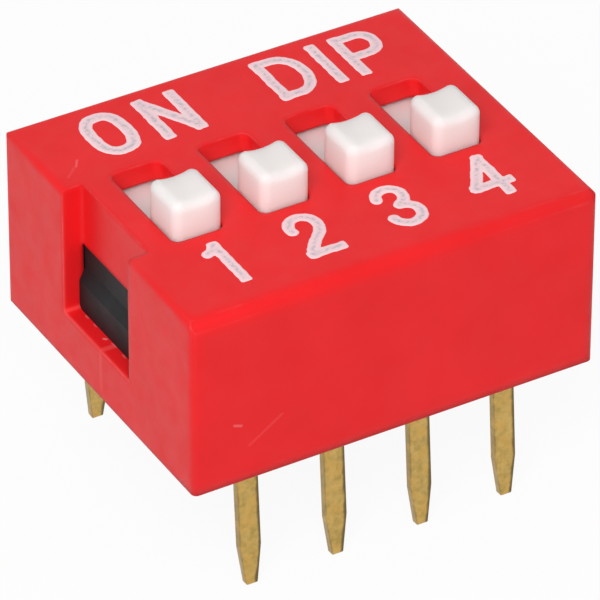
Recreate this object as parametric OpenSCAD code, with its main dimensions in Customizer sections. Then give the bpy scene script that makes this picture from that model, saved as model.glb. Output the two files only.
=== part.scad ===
// Four-way slide switch for a printed board: a red cover over a black base, white
// sliders in slots along the top and flat legs in two rows below.
// Sizes are in millimetres. X runs along the row of switches, Y from the numbered
// side to the ON side, Z up from the board that the cover's rim sits on.

/* [Grid] */
// Spacing of the switches along the row
pitch = 2.54; // [2.5:0.01:2.6]
// Spacing of the two rows of legs where they leave the base
row_gap = 7.62; // [7.5:0.01:7.8]

/* [Cover] */
// Centre of an outer switch to the end face
end_margin = 2.09; // [2.06:0.01:2.4]
// Row of legs to the long face
side_margin = 1.14; // [1.08:0.01:1.5]
// Top face above the board
cover_h = 5.3; // [5.2:0.05:6]
// Thickness of the long walls
side_wall = 0.65; // [0.5:0.01:0.7]
// Thickness of the end walls
end_wall = 0.6; // [0.5:0.01:0.62]
// Thickness of the top wall
top_wall = 0.6; // [0.45:0.01:0.65]
// Rounding of the top edge on the numbered side
front_round = 0.38; // [0.16:0.01:0.45]
// Rounding of the other outer edges
edge_round = 0.16; // [0.05:0.01:0.2]

/* [Slots] */
// Slot width, along the row
slot_w = 1.48; // [1.44:0.01:1.6]
// Slot length, along the travel
slot_l = 3.46; // [3.3:0.01:3.6]
// Shift of the slots and end openings towards the ON side
slot_shift = 0.12; // [-0.15:0.01:0.15]
// Rounding of a slot's corners, at most the knob's own rounding
slot_round = 0.23; // [0.05:0.01:0.3]

/* [End openings] */
// Width of the recess and the latch openings
opening_w = 3.45; // [3:0.01:4]
// Height of the bar below the openings
bar_h = 1.5; // [1.1:0.01:1.6]
// Top edge of the openings above the board
opening_top = 3.43; // [3.3:0.01:3.7]
// Rounding of the lower corners of the openings
opening_round = 0.15; // [0.05:0.01:0.4]
// How far a latch reaches out over the bar
latch_proud = 0.16; // [0.08:0.01:0.25]
// Height of a latch's upright nose above the bar
latch_nose = 0.88; // [0.6:0.01:1]
// Height of the slope above the nose
latch_slope = 0.37; // [0.2:0.01:0.5]

/* [Sliders] */
// Knob width, along the row
knob_w = 1.4; // [1.2:0.01:1.42]
// Knob length, along the travel
knob_l = 1.45; // [1.3:0.01:1.55]
// Knob height above the top face
knob_h = 1.07; // [0.7:0.01:1.3]
// Rounding of the knob's upright and top edges
knob_round = 0.23; // [0.08:0.01:0.3]
// Depth of the dish across the knob's top
knob_dish = 0.08; // [0.03:0.01:0.12]
// Thickness of the plate that closes the slot
plate_t = 0.5; // [0.4:0.01:0.6]
// How far the plate reaches past the slot at either stop
plate_lap = 0.15; // [0.1:0.01:0.2]
// Wall beside the spring pocket
pocket_wall = 0.42; // [0.3:0.01:0.46]
// Gap between knob and slot end at a stop
end_play = 0.03; // [0.02:0.01:0.08]
// Gap between a slider and each lane wall
lane_play = 0.05; // [0.03:0.01:0.08]
// Gap between the plate and the top wall
lift_play = 0.05; // [0.03:0.01:0.08]
// Least gap between the plate's end and a long wall
plate_room = 0.2; // [0.1:0.01:0.4]

/* [Base] */
// Room between the base's floor and the cover's roof, for slider and spring
room_h = 1.8; // [1.7:0.01:2.1]
// Underside of the base above the board
base_lift = 0.3; // [0.2:0.01:0.5]
// Thickness of the ribs between the lanes
rib_t = 0.5; // [0.42:0.01:0.55]
// Gap between base and cover walls
base_play = 0.03; // [0.02:0.01:0.05]

/* [Terminals] */
// Leg width
leg_w = 0.62; // [0.5:0.01:0.8]
// Thickness of the stamped strip
leg_t = 0.25; // [0.2:0.01:0.3]
// Leg length below the board seat
leg_l = 4.03; // [3:0.01:4.5]
// Width of the leg's tip
leg_tip_w = 0.33; // [0.2:0.01:0.4]
// Length of the tapered end
leg_taper = 1.15; // [0.6:0.01:1.6]
// Outward splay of the legs, in degrees
leg_splay = 4.3; // [1:0.1:6]
// Width of the contact pad
pad_w = 1.1; // [0.9:0.01:1.3]
// Gap between the two pads of one switch
pad_gap = 0.9; // [0.8:0.01:1]
// Length of the narrow strip between pad and shank
neck_l = 0.55; // [0.4:0.01:0.8]
// Bend radius at the middle of the strip
leg_bend_r = 0.25; // [0.2:0.01:0.4]

/* [Moving contacts] */
// Thickness of the spring strip
strip_t = 0.12; // [0.08:0.01:0.15]
// Width of the spring strip
strip_w = 0.8; // [0.6:0.01:0.9]
// Distance between the two contact points
contact_span = 2.4; // [2.3:0.01:2.5]
// How far a contact point stands over its pad when the switch is on
contact_hold = 0.12; // [0.08:0.01:0.2]
// Slope of the spring's arms, in degrees
arm_angle = 65; // [60:1:70]
// Gap between contact point and pad
contact_play = 0.03; // [0.02:0.01:0.05]
// Radius of the locating boss
boss_r = 0.18; // [0.12:0.01:0.22]

/* [Hidden] */
$fn = 48;
switches = 4;
cut = 1;
body_l = (switches - 1) * pitch + 2 * end_margin;
travel = slot_l - knob_l - 2 * end_play;
plate_l = knob_l + 2 * (travel + end_play + plate_lap);
plate_reach = abs(slot_shift) + travel / 2 + plate_l / 2;
legs_w = row_gap + 2 * side_margin;
plates_w = 2 * (plate_reach + plate_room + side_wall);
body_w = max(legs_w, plates_w);
inside_l = body_l - 2 * end_wall;
inside_w = body_w - 2 * side_wall;
roof_z = cover_h - top_wall;
floor_h = roof_z - room_h;

lane_w = pitch - rib_t;
slider_w = lane_w - 2 * lane_play;
lanes_half = (switches - 1) / 2 * pitch + lane_w / 2;
backing_t = inside_l / 2 - lanes_half;
backing_lap = 0.4;

knob_y = slot_shift - travel / 2;
plate_z = roof_z - lift_play - plate_t;
knob_top = cover_h + knob_h;
slot_corner = min(slot_round, knob_round);
dish_half = knob_w / 2 - knob_round;
dish_r = (dish_half * dish_half + knob_dish * knob_dish) / (2 * knob_dish);
crown_end = knob_l / 2 - 0.95 * knob_round;

base_l = inside_l - 2 * base_play;
base_w = inside_w - 2 * base_play;
latch_top = opening_top - base_play;

carrier_gap = 0.1;
carrier_z = floor_h + carrier_gap;
pocket_end = 0.5;
carrier_end = 0.4;
pocket_l = contact_span + 2 * pocket_end;
carrier_l = pocket_l + 2 * carrier_end;
pocket_w = slider_w - 2 * pocket_wall;
pocket_roof = 0.1;
pocket_z = plate_z - pocket_roof;
boss_h = 0.24;
boss_play = 0.02;
contact_y = -pad_gap / 2 - contact_hold + contact_span / 2 - travel;
contact_shift = knob_y - contact_y;

arm_bend_r = 0.2;
tip_bend_r = 0.3;
toe_l = 0.08;
contact_drop = pocket_z - strip_t - floor_h - contact_play;
bends_drop = (arm_bend_r + tip_bend_r) * (1 - cos(arm_angle));
arm_l = (contact_drop - bends_drop) / sin(arm_angle);
flat_half = contact_span / 2 - (arm_bend_r + tip_bend_r) * sin(arm_angle) - arm_l * cos(arm_angle);

pad_l = row_gap / 2 - pad_gap / 2 - neck_l - leg_bend_r;
shank_l = floor_h - leg_t / 2 - leg_bend_r - base_lift;
splay_l = (base_lift + leg_l - leg_bend_r * sin(leg_splay)) / cos(leg_splay);
leg_path = [
    [neck_l, -90, leg_bend_r],
    [shank_l, leg_splay, leg_bend_r],
    [splay_l - leg_taper, 0, 0]
];

cover_colour = [0.80, 0.05, 0.06];
base_colour = [0.05, 0.05, 0.055];
slider_colour = [0.90, 0.89, 0.87];
terminal_colour = [0.80, 0.62, 0.27];
contact_colour = [0.86, 0.68, 0.30];

// Centre of a lane along X; lanes count from 1 at the recessed end.
function lane_x(lane) = (lane - (switches + 1) / 2) * pitch;

// Draws a profile of the YZ plane and carries it along X, centred.
module along_x(length) {
    rotate([90, 0, 90])
        linear_extrude(length, center = true)
            children();
}

// Draws a profile of the XZ plane and carries it along Y, centred.
module along_y(length) {
    rotate([90, 0, 0])
        linear_extrude(length, center = true)
            children();
}

// Upright rectangle on the baseline with its two upper corners rounded.
module rounded_top(width, height, left_r, right_r) {
    deep = max(left_r, right_r);
    translate([-width / 2, 0])
        square([width, height - deep]);
    translate([-width / 2 + left_r, 0])
        square([width - left_r - right_r, height]);
    translate([-width / 2, 0])
        square([left_r, height - left_r]);
    translate([width / 2 - right_r, 0])
        square([right_r, height - right_r]);
    translate([-width / 2 + left_r, height - left_r])
        circle(left_r);
    translate([width / 2 - right_r, height - right_r])
        circle(right_r);
}

// Rectangle with four rounded corners, centred.
module rounded_plan(length, width, r) {
    square([length - 2 * r, width], center = true);
    square([length, width - 2 * r], center = true);
    for (sx = [-1, 1])
        for (sy = [-1, 1])
            translate([sx * (length / 2 - r), sy * (width / 2 - r)])
                circle(r);
}

// Outline of an end opening: rounded below, square above.
module opening_outline(width, low, high) {
    r = opening_round;
    translate([-width / 2, low + r])
        square([width, high - low - r]);
    translate([-width / 2 + r, low])
        square([width - 2 * r, r]);
    for (side = [-1, 1])
        translate([side * (width / 2 - r), low + r])
            circle(r);
}

// A strip bent along a path: each step is a straight run, a turn and its radius.
// Children are drawn at the path's end, with X along the strip.
module bent_strip(path, thick, wide, step = 0) {
    if (step == len(path)) {
        children();
    } else {
        run = path[step][0];
        turn = path[step][1];
        r = path[step][2];
        side = turn < 0 ? -1 : 1;
        translate([0, -thick / 2, -wide / 2])
            cube([run, thick, wide]);
        translate([run, side * r, 0]) {
            if (turn != 0)
                rotate(turn < 0 ? 90 + turn : -90)
                    rotate_extrude(angle = abs(turn))
                        translate([r - thick / 2, -wide / 2])
                            square([thick, wide]);
            rotate(turn)
                translate([0, -side * r, 0])
                    bent_strip(path, thick, wide, step + 1)
                        children();
        }
    }
}

// Outer form of the cover before it is hollowed.
module cover_block() {
    intersection() {
        along_x(body_l)
            rounded_top(body_w, cover_h, front_round, edge_round);
        along_y(body_w)
            rounded_top(body_l, cover_h, edge_round, edge_round);
        linear_extrude(cover_h)
            rounded_plan(body_l, body_w, edge_round);
    }
}

// Room inside the cover, less the wall that stands behind the end recess.
module cover_room() {
    difference() {
        translate([-inside_l / 2, -inside_w / 2, -cut])
            cube([inside_l, inside_w, roof_z + cut]);
        translate([-inside_l / 2 - cut, slot_shift - opening_w / 2 - backing_lap, opening_top])
            cube([cut + backing_t, opening_w + 2 * backing_lap, roof_z]);
    }
}

// Red shell with slots in the top, a recess at one end and a latch opening at the other.
module cover() {
    color(cover_colour)
        difference() {
            cover_block();
            cover_room();
            for (lane = [1:switches])
                translate([lane_x(lane), slot_shift, roof_z - cut])
                    linear_extrude(top_wall + 2 * cut)
                        rounded_plan(slot_w, slot_l, slot_corner);
            translate([-body_l / 2, slot_shift, 0])
                along_x(2 * end_wall)
                    opening_outline(opening_w, bar_h, cover_h + cut);
            translate([body_l / 2, slot_shift, 0])
                along_x(2 * end_wall)
                    opening_outline(opening_w, bar_h, opening_top);
        }
}

// Latch on an end of the base: a nose over the cover's bar with a slope running back above it.
module latch(side) {
    root = inside_l / 2 - base_play - end_wall / 2;
    nose_x = inside_l / 2 + latch_proud;
    back_x = inside_l / 2 - base_play;
    intersection() {
        translate([0, slot_shift, 0])
            along_y(opening_w)
                polygon([
                    [side * root, bar_h],
                    [side * nose_x, bar_h],
                    [side * nose_x, bar_h + latch_nose],
                    [side * back_x, bar_h + latch_nose + latch_slope],
                    [side * back_x, latch_top],
                    [side * root, latch_top]
                ]);
        translate([side * inside_l / 2, slot_shift, 0])
            along_x(2 * end_wall)
                opening_outline(opening_w - 2 * base_play, bar_h, latch_top);
    }
}

// Black block with lane walls above its floor and the terminals set into it.
module base() {
    color(base_colour)
        difference() {
            union() {
                translate([-base_l / 2, -base_w / 2, base_lift])
                    cube([base_l, base_w, floor_h - base_lift]);
                for (gap = [1:switches - 1])
                    translate([lane_x(gap) + (pitch - rib_t) / 2, -base_w / 2, base_lift])
                        cube([rib_t, base_w, roof_z - base_lift]);
                for (side = [-1, 1]) {
                    translate([side > 0 ? lanes_half : -base_l / 2, -base_w / 2, base_lift])
                        cube([base_l / 2 - lanes_half, base_w, latch_top - base_lift]);
                    latch(side);
                }
            }
            for (lane = [1:switches])
                for (side = [-1, 1])
                    terminal(lane, side);
        }
}

// One stamped terminal: contact pad, bend, shank through the base and splayed leg.
module terminal(lane, side) {
    turned = side > 0 ? 0 : 180;
    translate([lane_x(lane), 0, 0])
        rotate(turned)
            translate([0, pad_gap / 2, floor_h - leg_t / 2])
                rotate([90, 0, 90])
                    bent_strip([[pad_l, 0, 0]], leg_t, pad_w)
                        bent_strip(leg_path, leg_t, leg_w)
                            leg_tip();
}

// Tapered end of a leg.
module leg_tip() {
    rotate([90, 0, 0])
        linear_extrude(leg_t, center = true)
            polygon([
                [0, -leg_w / 2],
                [leg_taper, -leg_tip_w / 2],
                [leg_taper, leg_tip_w / 2],
                [0, leg_w / 2]
            ]);
}

// Upright post on z = 0 with a ball end.
module ball_post(height, r) {
    rotate_extrude() {
        square([r, height - r]);
        intersection() {
            translate([0, height - r])
                circle(r);
            square([r, height]);
        }
    }
}

// Knob standing on z = 0, with one rounding on its upright edges, top edges and top corners.
module knob_block(height) {
    r = knob_round;
    along_y(knob_l - 2 * r)
        rounded_top(knob_w, height, r, r);
    along_x(knob_w - 2 * r)
        rounded_top(knob_l, height, r, r);
    for (sx = [-1, 1])
        for (sy = [-1, 1])
            translate([sx * (knob_w / 2 - r), sy * (knob_l / 2 - r), 0])
                ball_post(height, r);
}

// Roller that dishes a knob's top across its width and flares out to round the two ends.
module dish_roller() {
    rotate([90, 0, 0])
        rotate_extrude($fn = 96)
            difference() {
                translate([0, -knob_l / 2 - cut])
                    square([dish_r + knob_round, knob_l + 2 * cut]);
                translate([dish_r, -crown_end])
                    square([2 * knob_round, 2 * crown_end]);
                for (side = [-1, 1])
                    translate([dish_r + knob_round, side * crown_end])
                        circle(knob_round);
            }
}

// White slider: knob with a dished top, closing plate and carrier with a spring pocket.
module slider(lane) {
    translate([lane_x(lane), knob_y, 0]) {
        difference() {
            union() {
                translate([0, 0, plate_z])
                    knob_block(knob_top - plate_z);
                translate([-slider_w / 2, -plate_l / 2, plate_z])
                    cube([slider_w, plate_l, plate_t]);
                translate([-slider_w / 2, -contact_shift - carrier_l / 2, carrier_z])
                    cube([slider_w, carrier_l, plate_z - carrier_z + plate_t / 2]);
            }
            translate([0, 0, knob_top - knob_dish + dish_r])
                dish_roller();
            translate([-pocket_w / 2, -contact_shift - pocket_l / 2, carrier_z - cut])
                cube([pocket_w, pocket_l, pocket_z - carrier_z + cut]);
        }
        translate([0, -contact_shift, pocket_z - boss_h])
            cylinder(h = boss_h + plate_t / 2, r = boss_r);
    }
}

// Spring strip arched over two contact points, with a hole for the slider's boss.
module contact(lane) {
    arm = [
        [flat_half, -arm_angle, arm_bend_r],
        [arm_l, 2 * arm_angle, tip_bend_r],
        [toe_l, 0, 0]
    ];
    translate([lane_x(lane), contact_y, pocket_z - strip_t / 2])
        difference() {
            for (turned = [0, 180])
                rotate(turned)
                    rotate([90, 0, 90])
                        bent_strip(arm, strip_t, strip_w);
            cylinder(h = 4 * strip_t, r = boss_r + boss_play, center = true);
        }
}

module terminal_front_1() { color(terminal_colour) terminal(1, -1); }
module terminal_front_2() { color(terminal_colour) terminal(2, -1); }
module terminal_front_3() { color(terminal_colour) terminal(3, -1); }
module terminal_front_4() { color(terminal_colour) terminal(4, -1); }
module terminal_back_1() { color(terminal_colour) terminal(1, 1); }
module terminal_back_2() { color(terminal_colour) terminal(2, 1); }
module terminal_back_3() { color(terminal_colour) terminal(3, 1); }
module terminal_back_4() { color(terminal_colour) terminal(4, 1); }
module slider_1() { color(slider_colour) slider(1); }
module slider_2() { color(slider_colour) slider(2); }
module slider_3() { color(slider_colour) slider(3); }
module slider_4() { color(slider_colour) slider(4); }
module contact_1() { color(contact_colour) contact(1); }
module contact_2() { color(contact_colour) contact(2); }
module contact_3() { color(contact_colour) contact(3); }
module contact_4() { color(contact_colour) contact(4); }

cover();
base();
terminal_front_1();
terminal_front_2();
terminal_front_3();
terminal_front_4();
terminal_back_1();
terminal_back_2();
terminal_back_3();
terminal_back_4();
slider_1();
slider_2();
slider_3();
slider_4();
contact_1();
contact_2();
contact_3();
contact_4();
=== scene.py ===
"""Looks of a four-way board switch on its CAD frame: moulded plastics, plated legs and print.

Lengths are in millimetres, and MM turns them into the frame's metres.
"""

import math

import bmesh
import bpy
import numpy as np
from mathutils import Matrix, Vector


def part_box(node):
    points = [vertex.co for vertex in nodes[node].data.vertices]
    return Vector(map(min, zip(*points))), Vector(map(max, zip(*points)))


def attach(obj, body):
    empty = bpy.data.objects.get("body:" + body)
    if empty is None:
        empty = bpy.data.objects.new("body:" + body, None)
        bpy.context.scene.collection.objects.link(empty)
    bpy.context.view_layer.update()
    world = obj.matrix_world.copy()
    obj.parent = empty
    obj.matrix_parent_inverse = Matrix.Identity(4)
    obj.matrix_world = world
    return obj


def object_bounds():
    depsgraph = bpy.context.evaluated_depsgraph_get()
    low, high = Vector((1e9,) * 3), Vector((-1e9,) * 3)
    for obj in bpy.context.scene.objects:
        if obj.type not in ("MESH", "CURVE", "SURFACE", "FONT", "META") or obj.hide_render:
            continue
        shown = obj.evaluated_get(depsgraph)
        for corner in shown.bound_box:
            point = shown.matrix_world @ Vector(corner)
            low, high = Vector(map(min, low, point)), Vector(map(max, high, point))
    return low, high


MM = 0.001

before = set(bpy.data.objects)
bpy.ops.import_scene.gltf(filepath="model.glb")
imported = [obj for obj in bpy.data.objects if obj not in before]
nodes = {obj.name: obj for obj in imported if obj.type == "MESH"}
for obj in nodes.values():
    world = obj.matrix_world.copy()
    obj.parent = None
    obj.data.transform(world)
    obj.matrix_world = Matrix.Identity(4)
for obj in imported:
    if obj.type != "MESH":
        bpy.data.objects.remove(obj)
cad_low, cad_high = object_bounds()
scene = bpy.context.scene
cover_low, cover_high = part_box("cover")


# Node trees

# Sockets of a colour mix, by number because other kinds of mix share their names.
MIX_FACTOR, MIX_ONE, MIX_TWO = 0, 6, 7
MIX_RESULT = 2

RELIEF_DEPTH = 0.01
SCRATCH_CORE = 0.25
EDGE_LEAN = (0.99, 0.80)
OPEN_SHADE = (0.80, 0.97)
EDGE_SAMPLES = 4
ROUND_SAMPLES = 6


class Graph:
    """The node tree of a material or a world, with short calls for adding and joining nodes."""

    def __init__(self, owner):
        owner.use_nodes = True
        self.owner = owner
        self.nodes = owner.node_tree.nodes
        self.links = owner.node_tree.links

    def fill(self, node, socket, value):
        """Joins another node's output to a socket, or sets the socket to a constant."""
        if isinstance(value, bpy.types.NodeSocket):
            self.links.new(value, node.inputs[socket])
        else:
            node.inputs[socket].default_value = value

    def add(self, kind, inputs=None, **settings):
        node = self.nodes.new(kind)
        for key, value in settings.items():
            setattr(node, key, value)
        for key, value in (inputs or {}).items():
            self.fill(node, key, value)
        return node

    def span(self, value, from_low, from_high, low=0.0, high=1.0, smooth=False):
        """A value's range turned into another range and held at its ends."""
        inputs = {
            "Value": value,
            "From Min": from_low,
            "From Max": from_high,
            "To Min": low,
            "To Max": high,
        }
        kind = "SMOOTHSTEP" if smooth else "LINEAR"
        return self.add("ShaderNodeMapRange", inputs, interpolation_type=kind).outputs["Result"]

    def mix(self, factor, one, two):
        inputs = {MIX_FACTOR: factor, MIX_ONE: one, MIX_TWO: two}
        return self.add("ShaderNodeMix", inputs, data_type="RGBA").outputs[MIX_RESULT]

    def math(self, kind, one, two=0.0):
        return self.add("ShaderNodeMath", {0: one, 1: two}, operation=kind).outputs[0]

    def product(self, first, *others):
        for other in others:
            first = self.math("MULTIPLY", first, other)
        return first

    def vector(self, kind, one, two):
        return self.add("ShaderNodeVectorMath", {0: one, 1: two}, operation=kind).outputs

    def seen(self, lighting, shown):
        """One value for light that falls on the part, one for the view, mirrors and glass."""
        rays = self.add("ShaderNodeLightPath").outputs
        seen = self.math("MAXIMUM", rays["Is Camera Ray"], rays["Is Glossy Ray"])
        seen = self.math("MAXIMUM", seen, rays["Is Transmission Ray"])
        return self.span(seen, 0.0, 1.0, lighting, shown)


class Surface(Graph):
    """A material of one shader, with patterns laid out in millimetres."""

    def __init__(self, name):
        super().__init__(bpy.data.materials.new(name))
        self.shader = self.nodes["Principled BSDF"]

    def put(self, socket, value):
        self.fill(self.shader, socket, value)

    def place(self, stretch=(1.0, 1.0, 1.0)):
        """Each point's place on the part, stretched where a grain runs one way."""
        coords = self.add("ShaderNodeTexCoord").outputs["Object"]
        inputs = {"Vector": coords, "Scale": tuple(factor / MM for factor in stretch)}
        return self.add("ShaderNodeMapping", inputs).outputs["Vector"]

    def noise(self, place, scale, detail):
        inputs = {"Vector": place, "Scale": scale, "Detail": detail}
        return self.add("ShaderNodeTexNoise", inputs).outputs["Fac"]

    def bump(self, height, strength):
        inputs = {"Height": height, "Strength": strength, "Distance": RELIEF_DEPTH * MM}
        self.relief = self.add("ShaderNodeBump", inputs)
        self.put("Normal", self.relief.outputs["Normal"])

    def round_off(self, reach):
        """Lets light run softly over the edges, as far as reach on either side."""
        soft = self.add("ShaderNodeBevel", {"Radius": reach}, samples=ROUND_SAMPLES)
        self.fill(self.relief, "Normal", soft.outputs["Normal"])

    def scratch(self, place, start, end, half_width):
        """One on the line from start to end, fading to none at its sides."""
        run = Vector(end) - Vector(start)
        ahead = self.vector("SUBTRACT", place, start)["Vector"]
        along = self.vector("DOT_PRODUCT", ahead, tuple(run / run.length_squared))["Value"]
        held = self.add("ShaderNodeClamp", {"Value": along}).outputs["Result"]
        foot = self.add("ShaderNodeVectorMath", {0: tuple(run), "Scale": held}, operation="SCALE")
        away = self.vector("DISTANCE", ahead, foot.outputs["Vector"])["Value"]
        return self.span(away, half_width, SCRATCH_CORE * half_width, smooth=True)

    def strongest(self, place, lines, total):
        """The strongest of the lines at each point, over what is there already."""
        for start, end, half_width, strength in lines:
            line = self.product(self.scratch(place, start, end, half_width), strength)
            total = self.math("MAXIMUM", total, line)
        return total

    def edges(self, reach):
        """One along the edges, from how far a softened normal leans off the true one."""
        soft = self.add("ShaderNodeBevel", {"Radius": reach}, samples=EDGE_SAMPLES)
        true = self.add("ShaderNodeNewGeometry").outputs["True Normal"]
        lean = self.vector("DOT_PRODUCT", soft.outputs["Normal"], true)["Value"]
        return self.span(lean, *EDGE_LEAN)

    def open_air(self, reach):
        """One on open faces and outer edges, none in inner corners."""
        settings = {"samples": EDGE_SAMPLES, "only_local": True}
        shade = self.add("ShaderNodeAmbientOcclusion", {"Distance": reach}, **settings)
        return self.span(shade.outputs["AO"], *OPEN_SHADE)


# Plastics and plated strip

# Patterns: how many features to a millimetre, then how finely they break up.
TONE_DRIFT = (0.55, 2.0)
GLOSS_DRIFT = (1.7, 4.0)
SURFACE_GRAIN = (14.0, 3.0)
STREAKS = (2.0, 4.0)
MOTTLE = (6.0, 4.0)
WARM_PATCHES = (3.0, 2.0)
# Patches of the painted edge highlights on the cover.
HIGHLIGHT_PATCHES = (2.0, 4.0)
INK_SPECKS = (9.0, 4.0)
# Waver of the dark bands along the legs' edges.
EDGE_WAVER = (2.5, 3.0)

# The part of a pattern's own range over which it goes from none to full.
MOST = (0.3, 0.7)
PLATE_RANGE = (0.50, 0.90)
WARM_RANGE = (0.45, 0.70)
# Range of the patches of painted edge highlights.
HIGHLIGHT_RANGE = (0.35, 0.65)
SPECK_RANGE = (0.42, 0.60)

# Streaks run along the legs and show less than the mottle.
STREAK_STRETCH = (4.0, 4.0, 0.7)
STREAK_SHARE = 0.4
STREAK_RELIEF = 0.15
WARM_MOST = 0.6


def colour(r, g, b):
    return (r, g, b, 1.0)


def moulded(name, tone, deep, rough, grain, ior):
    """Moulded plastic: two close tones in a slow drift, a fine surface grain and uneven gloss."""
    g = Surface(name)
    place = g.place()
    drift = g.span(g.noise(place, *TONE_DRIFT), *MOST)
    g.tone = g.mix(drift, deep, tone)
    g.put("Base Color", g.tone)
    g.put("Roughness", g.span(g.noise(place, *GLOSS_DRIFT), *MOST, *rough))
    g.put("IOR", ior)
    g.bump(g.noise(place, *SURFACE_GRAIN), grain)
    return g


def plated(name, tone, deep, warm, rough):
    """Plated strip: a fine mottle over faint streaks along the leg, with warmer patches."""
    g = Surface(name)
    streak = g.noise(g.place(STREAK_STRETCH), *STREAKS)
    mottle = g.noise(g.place(), *MOTTLE)
    patch = g.span(g.math("ADD", g.product(streak, STREAK_SHARE), mottle), *PLATE_RANGE)
    warmth = g.span(g.noise(g.place(), *WARM_PATCHES), *WARM_RANGE, 0.0, WARM_MOST)
    g.tone = g.mix(warmth, g.mix(patch, deep, tone), warm)
    g.put("Base Color", g.tone)
    g.put("Metallic", 1.0)
    g.put("Roughness", g.span(streak, *MOST, *rough))
    g.bump(streak, STREAK_RELIEF)
    return g


red = moulded(
    "cover_red",
    tone=colour(0.86, 0.014, 0.018),
    deep=colour(0.81, 0.012, 0.015),
    rough=(0.36, 0.48),
    grain=0.10,
    ior=1.33,
)
black = moulded(
    "base_black",
    tone=colour(0.011, 0.012, 0.014),
    deep=colour(0.007, 0.008, 0.009),
    rough=(0.48, 0.62),
    grain=0.16,
    ior=1.31,
)
white = moulded(
    "slider_white",
    tone=colour(0.89, 0.865, 0.845),
    deep=colour(0.85, 0.825, 0.805),
    rough=(0.38, 0.50),
    grain=0.08,
    ior=1.40,
)
ink = moulded(
    "print_ink",
    tone=colour(0.98, 0.73, 0.76),
    deep=colour(0.94, 0.67, 0.71),
    rough=(0.45, 0.60),
    grain=0.22,
    ior=1.40,
)
gold = plated(
    "terminal_gold",
    tone=colour(0.60, 0.40, 0.132),
    deep=colour(0.42, 0.283, 0.080),
    warm=colour(0.61, 0.36, 0.090),
    rough=(0.22, 0.36),
)
spring = plated(
    "contact_gold",
    tone=colour(0.72, 0.50, 0.18),
    deep=colour(0.60, 0.40, 0.13),
    warm=colour(0.74, 0.48, 0.15),
    rough=(0.20, 0.30),
)

# Faces of the cover, and the bar below its end recess.
END_X = cover_low.x / MM
FRONT_Y = cover_low.y / MM
TOP_Z = cover_high.z / MM
BAR_TOP = 1.50
BAR_BACK = -5.45
BAR_BEND = -0.09
RECESS_WALL = 1.845

# Pale marks, a speck and a scratch on the front and painted highlights on the top and the bar:
# start, end, half width, then how pale.
MARKS_AND_HIGHLIGHTS = [
    ((-4.72, FRONT_Y, 1.82), (-4.52, FRONT_Y, 1.745), 0.055, 0.24),
    ((-4.28, FRONT_Y, 1.06), (-3.34, FRONT_Y, 1.69), 0.060, 0.06),
    ((-4.91, 2.85, TOP_Z), (-5.07, 2.60, TOP_Z), 0.045, 0.20),
    ((-5.14, 2.58, TOP_Z), (-5.48, 2.27, TOP_Z), 0.050, 0.06),
    ((-5.57, 0.31, BAR_TOP), (-5.53, 0.27, BAR_TOP), 0.060, 0.45),
    ((-5.49, 1.42, BAR_TOP), (-5.49, 1.31, BAR_TOP), 0.045, 0.20),
    ((-5.49, 0.98, BAR_TOP), (-5.49, 0.87, BAR_TOP), 0.040, 0.16),
    ((-5.49, 0.04, BAR_TOP), (-5.48, -0.16, BAR_TOP), 0.040, 0.14),
    ((-5.49, -0.55, BAR_TOP), (-5.49, -0.68, BAR_TOP), 0.045, 0.20),
]
# Pale pink of the marks and of the painted edge highlights.
MARK_AND_HIGHLIGHT_PINK = colour(0.95, 0.42, 0.42)

# Painted highlight lines along the bar and the recess, in the same order.
HIGHLIGHT_LINES = [
    ((END_X, 1.80, BAR_TOP), (END_X, -1.58, BAR_TOP), 0.080, 0.42),
    ((END_X, 1.82, 1.53), (BAR_BACK, 1.82, 1.53), 0.090, 0.40),
    ((END_X, BAR_BEND, BAR_TOP), (BAR_BACK, BAR_BEND, BAR_TOP), 0.130, 0.50),
    ((END_X, BAR_BEND, 1.45), (END_X, -0.10, 0.30), 0.110, 0.28),
    ((END_X, RECESS_WALL, 1.60), (END_X, RECESS_WALL, 5.10), 0.065, 0.22),
]
# Saturated red of the painted highlight lines.
HIGHLIGHT_RED = colour(1.0, 0.10, 0.10)

# Painted highlights on the cover's outer edges: how wide, how far inner corners keep them off,
# and how pale.
EDGE_HIGHLIGHT_REACH = 0.06 * MM
CORNER_REACH = 0.15 * MM
EDGE_HIGHLIGHT_PALE = 0.30


def paint_cover_marks_and_highlights():
    """Painted highlights on the outer edges and along lines on the bar and the recess, and pale
    marks that are partly a speck and a scratch and partly painted highlights.
    """
    place = red.place()
    # Painted highlights along the outer edges, in patches, kept out of inner corners.
    patches = red.span(red.noise(place, *HIGHLIGHT_PATCHES), *HIGHLIGHT_RANGE)
    edge_highlight = red.product(red.edges(EDGE_HIGHLIGHT_REACH), patches, red.open_air(CORNER_REACH), EDGE_HIGHLIGHT_PALE)
    pale = red.strongest(place, MARKS_AND_HIGHLIGHTS, edge_highlight)
    # Painted highlight lines over the tone, then pale marks and painted edge highlights over all.
    bright = red.strongest(place, HIGHLIGHT_LINES, 0.0)
    red.put("Base Color", red.mix(pale, red.mix(bright, red.tone, HIGHLIGHT_RED), MARK_AND_HIGHLIGHT_PINK))


# Print: how far in its middle shows, how much of it shows between the specks, and its colour.
CORE = "core"
CORE_RANGE = (0.45, 0.90)
SPECK_LEAST = 0.20
THIN_INK = colour(0.60, 0.51, 0.56)


def grain_ink():
    """Print that is thin and greyish along the middle of a stroke, thick and pink at its edge."""
    core = ink.add("ShaderNodeAttribute", attribute_name=CORE).outputs["Fac"]
    specks = ink.span(ink.noise(ink.place(), *INK_SPECKS), *SPECK_RANGE, SPECK_LEAST, 1.0)
    thin = ink.product(ink.span(core, *CORE_RANGE), specks)
    ink.put("Base Color", ink.mix(thin, ink.tone, THIN_INK))


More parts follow.
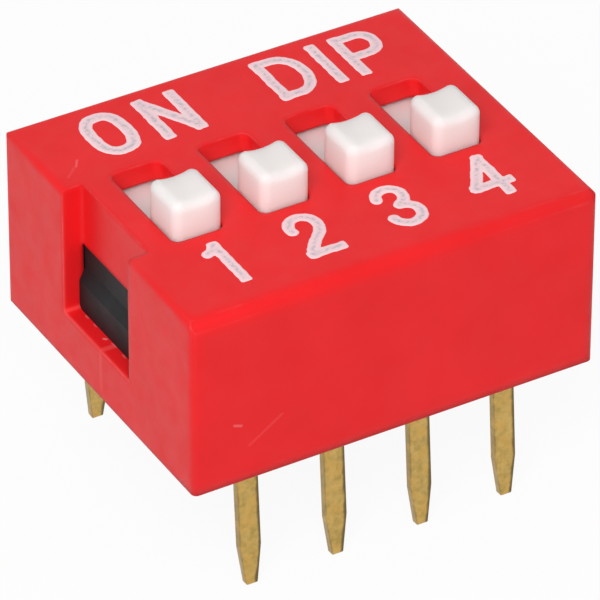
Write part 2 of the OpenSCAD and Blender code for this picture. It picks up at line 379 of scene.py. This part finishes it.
# Legs: distance between neighbours, half widths at shank and tip, heights where the tip tapers.
LEG_PITCH = 2.54
LEG_HALF = 0.31
TIP_HALF = 0.165
TAPER_HIGH = -2.88
TAPER_LOW = -4.03

# Dark bands by the legs' edges, painted shade along the right edge and a thin dark band along the
# left edge and flank: from where to where each band darkens, beside the leg's edge, and how dark.
RIGHT_SHADE_BAND = (-0.13, -0.05)
RIGHT_SHADE_DARK = 0.85
LEFT_EDGE_BAND = (0.04, -0.01)
LEFT_EDGE_DARK = 0.40
WAVER_MOST = 0.025
# Dark brown of the painted shade on the right edge and of the thin band on the left edge.
SHADE_AND_EDGE_DARK = colour(0.105, 0.078, 0.038)


def darken_leg_edges():
    """Painted shade in a band along each leg's right edge, and a thin dark band along its left
    edge and flank.
    """
    place = gold.place()
    axes = gold.add("ShaderNodeSeparateXYZ", {"Vector": place}).outputs
    phase = gold.math("FRACT", gold.math("DIVIDE", axes["X"], LEG_PITCH))
    across = gold.product(gold.math("SUBTRACT", phase, 0.5), LEG_PITCH)
    half = gold.span(axes["Z"], TAPER_HIGH, TAPER_LOW, LEG_HALF, TIP_HALF)
    waver = gold.span(gold.noise(place, *EDGE_WAVER), *MOST, -WAVER_MOST, WAVER_MOST)
    off_right = gold.math("ADD", gold.math("SUBTRACT", across, half), waver)
    off_left = gold.math("ADD", gold.math("ADD", across, half), waver)
    # Painted shade along the right edge; a thin dark band along the left edge and flank.
    right_shade = gold.product(gold.span(off_right, *RIGHT_SHADE_BAND, smooth=True), RIGHT_SHADE_DARK)
    left_edge = gold.product(gold.span(off_left, *LEFT_EDGE_BAND, smooth=True), LEFT_EDGE_DARK)
    dark = gold.math("MAXIMUM", right_shade, left_edge)
    gold.put("Base Color", gold.mix(dark, gold.tone, SHADE_AND_EDGE_DARK))


paint_cover_marks_and_highlights()
grain_ink()
darken_leg_edges()

# The sliders' plastic lets light bleed a little way through it.
BLEED = 0.8 * MM

white.put("Subsurface Weight", 1.0)
white.put("Subsurface Radius", (1.0, 1.0, 1.0))
white.put("Subsurface Scale", BLEED)

# Soft light over edges. The cover's front edges are blunter than the rest of its edges.
SLIDER_ROUND = 0.15 * MM
COVER_ROUND = 0.20 * MM
FRONT_ROUND = 0.42 * MM
FRONT_ZONE = (-4.0, -4.4)

depth = red.add("ShaderNodeSeparateXYZ", {"Vector": red.place()}).outputs["Y"]
red.round_off(red.span(depth, *FRONT_ZONE, COVER_ROUND, FRONT_ROUND))
white.round_off(SLIDER_ROUND)

# Material and width of the softened edges, by the first word of a node's name.
LOOKS = {
    "cover": (red, 0.03),
    "base": (black, 0.04),
    "slider": (white, 0.0),
    "terminal": (gold, 0.035),
    "contact": (spring, 0.02),
}
WELD_GAP = 0.0005 * MM
FLAT_ANGLE = math.radians(0.5)
SHARP_ANGLE = math.radians(40)
EDGE_SEGMENTS = 3


def soften(obj, width):
    """Rounds a node's sharp edges with modifiers and leaves its mesh alone."""
    weld = obj.modifiers.new("weld", "WELD")
    weld.merge_threshold = WELD_GAP
    flat = obj.modifiers.new("flat", "DECIMATE")
    flat.decimate_type = "DISSOLVE"
    flat.angle_limit = FLAT_ANGLE
    bevel = obj.modifiers.new("soft_edges", "BEVEL")
    bevel.width = width * MM
    bevel.segments = EDGE_SEGMENTS
    bevel.limit_method = "ANGLE"
    bevel.angle_limit = SHARP_ANGLE
    bevel.use_clamp_overlap = True
    bevel.harden_normals = True


for name, obj in nodes.items():
    look, edge = LOOKS[name.split("_")[0]]
    obj.data.materials.clear()
    obj.data.materials.append(look.owner)
    if edge:
        soften(obj, edge)


# Printed letters and numbers

# Half widths of the strokes, and the round on a bar's corners.
STROKE = 0.165
BOLD = {"letter_o": 0.185, "letter_n": 0.178}
STROKE_CORNER = 0.07


def arc(cx, cy, rx, ry, start, end, steps, power=2.0):
    """Points along an ellipse, or along a squarer ring where power is above two."""
    points = []
    for a in np.radians(np.linspace(start, end, steps)):
        c, s = math.cos(a), math.sin(a)
        x = math.copysign(abs(c) ** (2 / power), c)
        y = math.copysign(abs(s) ** (2 / power), s)
        points.append((cx + rx * x, cy + ry * y))
    return points


# Strokes by their middle lines on the top face. Two points make a bar with square ends.
GLYPHS = {
    "letter_o": [arc(-3.605, 3.49, 0.485, 0.805, 0, 360, 60, 2.6)],
    "letter_n": [
        [(-2.32, 2.68), (-2.32, 4.30)],
        [(-2.27, 4.27), (-1.43, 2.71)],
        [(-1.38, 2.68), (-1.38, 4.30)],
    ],
    "letter_d": [
        [(1.18, 2.70), (1.18, 4.34)],
        [(1.18, 4.33), (1.58, 4.33)]
        + arc(1.58, 3.52, 0.60, 0.81, 90, -90, 30, 2.2)
        + [(1.18, 2.71)],
    ],
    "letter_i": [[(2.84, 2.70), (2.84, 4.33)]],
    "letter_p": [
        [(3.53, 2.70), (3.53, 4.32)],
        [(3.53, 4.31), (4.05, 4.31)]
        + arc(4.05, 3.87, 0.43, 0.44, 90, -90, 22, 2.2)
        + [(3.53, 3.43)],
    ],
    "digit_1": [
        [(-4.06, -2.43), (-3.88, -2.35), (-3.75, -2.17)],
        [(-3.74, -2.17), (-3.74, -3.75)],
    ],
    "digit_2": [
        arc(-1.36, -2.56, 0.38, 0.40, 195, 0, 22)
        + [(-1.00, -2.72), (-1.10, -2.93), (-1.42, -3.26), (-1.66, -3.55), (-1.74, -3.75)],
        [(-1.74, -3.75), (-0.95, -3.75)],
    ],
    "digit_3": [
        arc(1.17, -2.54, 0.36, 0.37, 175, -70, 22) + [(1.24, -2.94)],
        [(1.24, -2.94)] + arc(1.20, -3.36, 0.40, 0.40, 70, -175, 26),
    ],
    "digit_4": [
        [(3.98, -2.17), (3.28, -3.32)],
        [(3.28, -3.33), (4.22, -3.33)],
        [(3.99, -2.17), (3.99, -3.76)],
    ],
}

# The skin of ink: its height, its foot in the plastic, the width of its rounded edge, the grid
# that it is cut from, the grid's margin and the fillet where strokes meet.
INK_HEIGHT = 0.012
INK_SINK = 0.002
INK_EDGE = 0.05
INK_GRID = 0.025
INK_MARGIN = 3 * INK_GRID
INK_FILLET = 0.05

# Waves in a character's outline: height, then pace and start along X and along Y.
WAVES = [
    (0.010, 9.1, 1.3, 7.7, 0.4),
    (0.006, 23.0, 0.0, 19.0, 0.0),
]


def bar_field(ends, stroke, xs, ys):
    """Signed distance from each grid point to the edge of a bar with rounded corners."""
    (ax, ay), (bx, by) = ends
    length = math.hypot(bx - ax, by - ay)
    ux, uy = (bx - ax) / length, (by - ay) / length
    mx, my = xs - (ax + bx) / 2, ys - (ay + by) / 2
    qx = np.abs(mx * ux + my * uy) - (length / 2 + stroke - STROKE_CORNER)
    qy = np.abs(my * ux - mx * uy) - (stroke - STROKE_CORNER)
    outside = np.hypot(np.maximum(qx, 0), np.maximum(qy, 0))
    return outside + np.minimum(np.maximum(qx, qy), 0) - STROKE_CORNER


def curve_field(path, stroke, xs, ys):
    """Signed distance from each grid point to the edge of a stroke with round ends."""
    best = np.full(xs.shape, np.inf)
    for (ax, ay), (bx, by) in zip(path[:-1], path[1:]):
        dx, dy = bx - ax, by - ay
        square = dx * dx + dy * dy
        if square == 0:
            continue
        t = np.clip(((xs - ax) * dx + (ys - ay) * dy) / square, 0, 1)
        best = np.minimum(best, np.hypot(xs - ax - t * dx, ys - ay - t * dy))
    return best - stroke


def glyph_field(strokes, stroke, xs, ys):
    """Signed distance to a character's edge, with ink run into its corners and a wavy outline."""
    total = None
    for path in strokes:
        field = bar_field if len(path) == 2 else curve_field
        other = field(path, stroke, xs, ys)
        if total is None:
            total = other
            continue
        h = np.clip(0.5 + 0.5 * (other - total) / INK_FILLET, 0, 1)
        total = other * (1 - h) + total * h - INK_FILLET * h * (1 - h)
    for height, pace_x, start_x, pace_y, start_y in WAVES:
        total = total + height * np.sin(xs * pace_x + start_x) * np.sin(ys * pace_y + start_y)
    return total


def cell_outline(corner, value):
    """The part of a grid cell inside a stroke: points, each between two of the cell's corners."""
    ring = []
    for a in range(4):
        b = (a + 1) % 4
        if value[a] < 0:
            ring.append((corner[a], corner[a], 0.0))
        if (value[a] < 0) != (value[b] < 0):
            ring.append((corner[a], corner[b], value[a] / (value[a] - value[b])))
    return ring


def printed(name, strokes, top):
    """A closed skin of ink: a pillowed top over a flat underside that share one outline."""
    stroke = BOLD.get(name, STROKE)
    points = np.array([p for path in strokes for p in path])
    low = points.min(0) - stroke - INK_MARGIN
    high = points.max(0) + stroke + INK_MARGIN
    gx = np.arange(low[0], high[0], INK_GRID)
    gy = np.arange(low[1], high[1], INK_GRID)
    xs, ys = np.meshgrid(gx, gy, indexing="ij")
    field = glyph_field(strokes, stroke, xs, ys)
    bm = bmesh.new()
    core = bm.verts.layers.float.new(CORE)
    made = {}

    def vertex(first, second, t, raised):
        on_edge = first != second
        key = (min(first, second), max(first, second), raised or on_edge)
        if key not in made:
            x = xs[first] + (xs[second] - xs[first]) * t
            y = ys[first] + (ys[second] - ys[first]) * t
            z = -INK_SINK
            inside = 0.0 if on_edge else -field[first]
            if raised:
                rise = min(1.0, inside / INK_EDGE)
                z += (INK_HEIGHT + INK_SINK) * math.sqrt(1 - (1 - rise) ** 2)
            made[key] = bm.verts.new(Vector((x * MM, y * MM, top + z * MM)))
            made[key][core] = min(1.0, inside / stroke)
        return made[key]

    for i in range(len(gx) - 1):
        for j in range(len(gy) - 1):
            corner = [(i, j), (i + 1, j), (i + 1, j + 1), (i, j + 1)]
            ring = cell_outline(corner, [field[c] for c in corner])
            if len(ring) < 3:
                continue
            for raised in (True, False):
                loop = [vertex(a, b, t, raised) for a, b, t in ring]
                bm.faces.new(loop if raised else loop[::-1])
    mesh = bpy.data.meshes.new(name)
    bm.to_mesh(mesh)
    bm.free()
    for face in mesh.polygons:
        face.use_smooth = True
    obj = bpy.data.objects.new(name, mesh)
    scene.collection.objects.link(obj)
    obj.data.materials.append(ink.owner)
    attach(obj, "housing")


for name, strokes in GLYPHS.items():
    printed(name, strokes, cover_high.z)


# Floor, light and camera

# The floor: half its side, how much it glows by itself, its colour in view and as a reflector.
FLOOR_HALF = 600 * MM
FLOOR_GLOW = 0.93
FLOOR_PALE = 0.92
FLOOR_BOUNCE = 0.6

floor_mesh = bpy.data.meshes.new("floor")
quarters = ((-1, -1), (1, -1), (1, 1), (-1, 1))
corners = [(sx * FLOOR_HALF, sy * FLOOR_HALF, cad_low[2]) for sx, sy in quarters]
floor_mesh.from_pydata(corners, [], [(0, 1, 2, 3)])
floor = bpy.data.objects.new("floor", floor_mesh)
scene.collection.objects.link(floor)

paper = Graph(bpy.data.materials.new("floor_paper"))
paper.nodes.clear()
matt = paper.add("ShaderNodeBsdfDiffuse", {"Color": paper.seen(FLOOR_BOUNCE, FLOOR_PALE)})
glow = paper.add("ShaderNodeEmission")
shaders = {0: paper.seen(0.0, FLOOR_GLOW), 1: matt.outputs[0], 2: glow.outputs[0]}
blend = paper.add("ShaderNodeMixShader", shaders)
paper.add("ShaderNodeOutputMaterial", {"Surface": blend.outputs[0]})
floor.data.materials.append(paper.owner)

AMBIENT = 0.38

studio = Graph(bpy.data.worlds.new("studio"))
scene.world = studio.owner
sky = studio.nodes["Background"]
studio.fill(sky, "Color", colour(1, 1, 1))
studio.fill(sky, "Strength", studio.seen(AMBIENT, 1.0))

KEY_PLACE = Vector((-92, -114, 136)) * MM
KEY_SIZE = 120 * MM
KEY_WATTS = 0.325

key = bpy.data.lights.new("key", "AREA")
key.shape = "SQUARE"
key.size = KEY_SIZE
key.energy = KEY_WATTS
softbox = bpy.data.objects.new("key", key)
softbox.location = KEY_PLACE
softbox.rotation_euler = (-KEY_PLACE).to_track_quat("-Z", "Y").to_euler()
softbox.visible_glossy = False
scene.collection.objects.link(softbox)

# The camera: its place, what it looks at, its tilt, and its lens in pixels of the picture.
EYE = Vector((-73.78, -127.26, 106.81)) * MM
AIM = Vector((-0.025, -0.103, 1.0)) * MM
ROLL = math.radians(0.2)
FOCAL_PIXELS = 7000.0
IMAGE_PIXELS = 600.0
SENSOR_WIDTH = 36.0
NEAREST = 10 * MM
FURTHEST = 5000 * MM

cam = bpy.data.cameras.new("camera")
cam.sensor_fit = "HORIZONTAL"
cam.sensor_width = SENSOR_WIDTH
cam.lens = SENSOR_WIDTH * FOCAL_PIXELS / IMAGE_PIXELS
cam.clip_start = NEAREST
cam.clip_end = FURTHEST
eye = bpy.data.objects.new("camera", cam)
scene.collection.objects.link(eye)
turn = (AIM - EYE).to_track_quat("-Z", "Y").to_matrix().to_4x4()
eye.matrix_world = Matrix.Translation(EYE) @ turn @ Matrix.Rotation(ROLL, 4, "Z")
scene.camera = eye
scene.view_settings.view_transform = "Standard"
